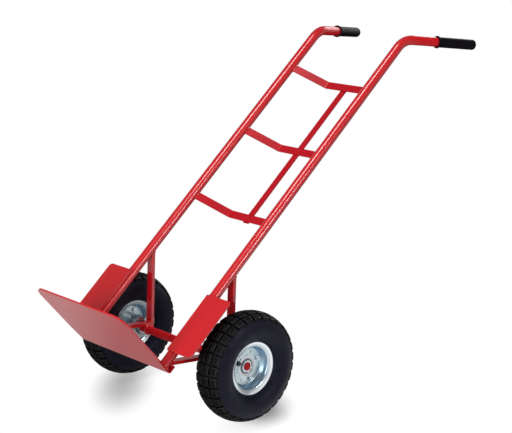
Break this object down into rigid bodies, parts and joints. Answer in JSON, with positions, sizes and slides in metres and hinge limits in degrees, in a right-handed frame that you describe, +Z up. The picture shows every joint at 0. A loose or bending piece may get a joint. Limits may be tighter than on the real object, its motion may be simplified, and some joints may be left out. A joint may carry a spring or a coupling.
{
  "type": "sack truck",
  "caption": "Two-wheeled sack truck with bent tube uprights, rubber grips, cranked cross bars, a toe plate, wheel guards and pneumatic block-tread tyres",
  "frame": {"origin": "on the floor, on the toe plate's underside, midway between the feet of the two uprights", "axes": "+Z up along the uprights, -Y forward over the toe plate, +X to the left of the person pushing"},
  "size_m": [0.521, 0.461, 1.1874],
  "materials": {
    "red_coat": "gloss powder coat",
    "grip_rubber": "satin",
    "zinc_plate": "zinc plated",
    "bearing_steel": "ground",
    "spring_steel": "oiled black",
    "tyre_rubber": "matte",
    "tube_rubber": "satin",
    "valve_brass": "bare",
    "cap_plastic": "matte"
  },
  "bodies": {
    "frame": {"toe_plate": "red_coat", "centre_bar": "red_coat", "upper_cross_bar": "red_coat", "middle_cross_bar": "red_coat", "lower_cross_bar": "red_coat", "axle": "red_coat", "left_upright": "red_coat", "left_wheel_guard": "red_coat", "left_upper_axle_strut": "red_coat", "left_lower_axle_strut": "red_coat", "right_upright": "red_coat", "right_wheel_guard": "red_coat", "right_upper_axle_strut": "red_coat", "right_lower_axle_strut": "red_coat", "left_grip": "grip_rubber", "left_axle_spacer": "zinc_plate", "left_axle_washer": "zinc_plate", "left_retaining_ring": "spring_steel", "left_bearing_inner_rings": "bearing_steel", "right_grip": "grip_rubber", "right_axle_spacer": "zinc_plate", "right_axle_washer": "zinc_plate", "right_retaining_ring": "spring_steel", "right_bearing_inner_rings": "bearing_steel"},
    "left_wheel": {"left_tyre": "tyre_rubber", "left_inner_tube": "tube_rubber", "left_valve_stem": "valve_brass", "left_valve_cap": "cap_plastic", "left_outer_rim": "zinc_plate", "left_inner_rim": "zinc_plate", "left_hub": "zinc_plate", "left_rim_bolts": "zinc_plate", "left_rim_nuts": "zinc_plate", "left_bearing_outer_rings": "bearing_steel", "left_bearing_shields": "bearing_steel"},
    "left_cage": {"left_bearing_cages": "bearing_steel", "left_bearing_balls": "bearing_steel"},
    "right_wheel": {"right_tyre": "tyre_rubber", "right_inner_tube": "tube_rubber", "right_valve_stem": "valve_brass", "right_valve_cap": "cap_plastic", "right_outer_rim": "zinc_plate", "right_inner_rim": "zinc_plate", "right_hub": "zinc_plate", "right_rim_bolts": "zinc_plate", "right_rim_nuts": "zinc_plate", "right_bearing_outer_rings": "bearing_steel", "right_bearing_shields": "bearing_steel"},
    "right_cage": {"right_bearing_cages": "bearing_steel", "right_bearing_balls": "bearing_steel"}
  },
  "joints": [
    {"name": "left_wheel_spin", "type": "hinge", "parent": "frame", "child": "left_wheel", "pos_m": [0.218, 0.14, 0.13], "axis": [1, 0, 0], "continuous": true},
    {"name": "left_cage_spin", "type": "hinge", "parent": "frame", "child": "left_cage", "pos_m": [0.218, 0.14, 0.13], "axis": [1, 0, 0], "continuous": true},
    {"name": "right_wheel_spin", "type": "hinge", "parent": "frame", "child": "right_wheel", "pos_m": [-0.218, 0.14, 0.13], "axis": [1, 0, 0], "continuous": true},
    {"name": "right_cage_spin", "type": "hinge", "parent": "frame", "child": "right_cage", "pos_m": [-0.218, 0.14, 0.13], "axis": [1, 0, 0], "continuous": true}
  ],
  "couplings": [
    {"joint": "left_cage_spin", "follows": "left_wheel_spin", "ratio": 0.6179},
    {"joint": "right_cage_spin", "follows": "right_wheel_spin", "ratio": 0.6179}
  ]
}
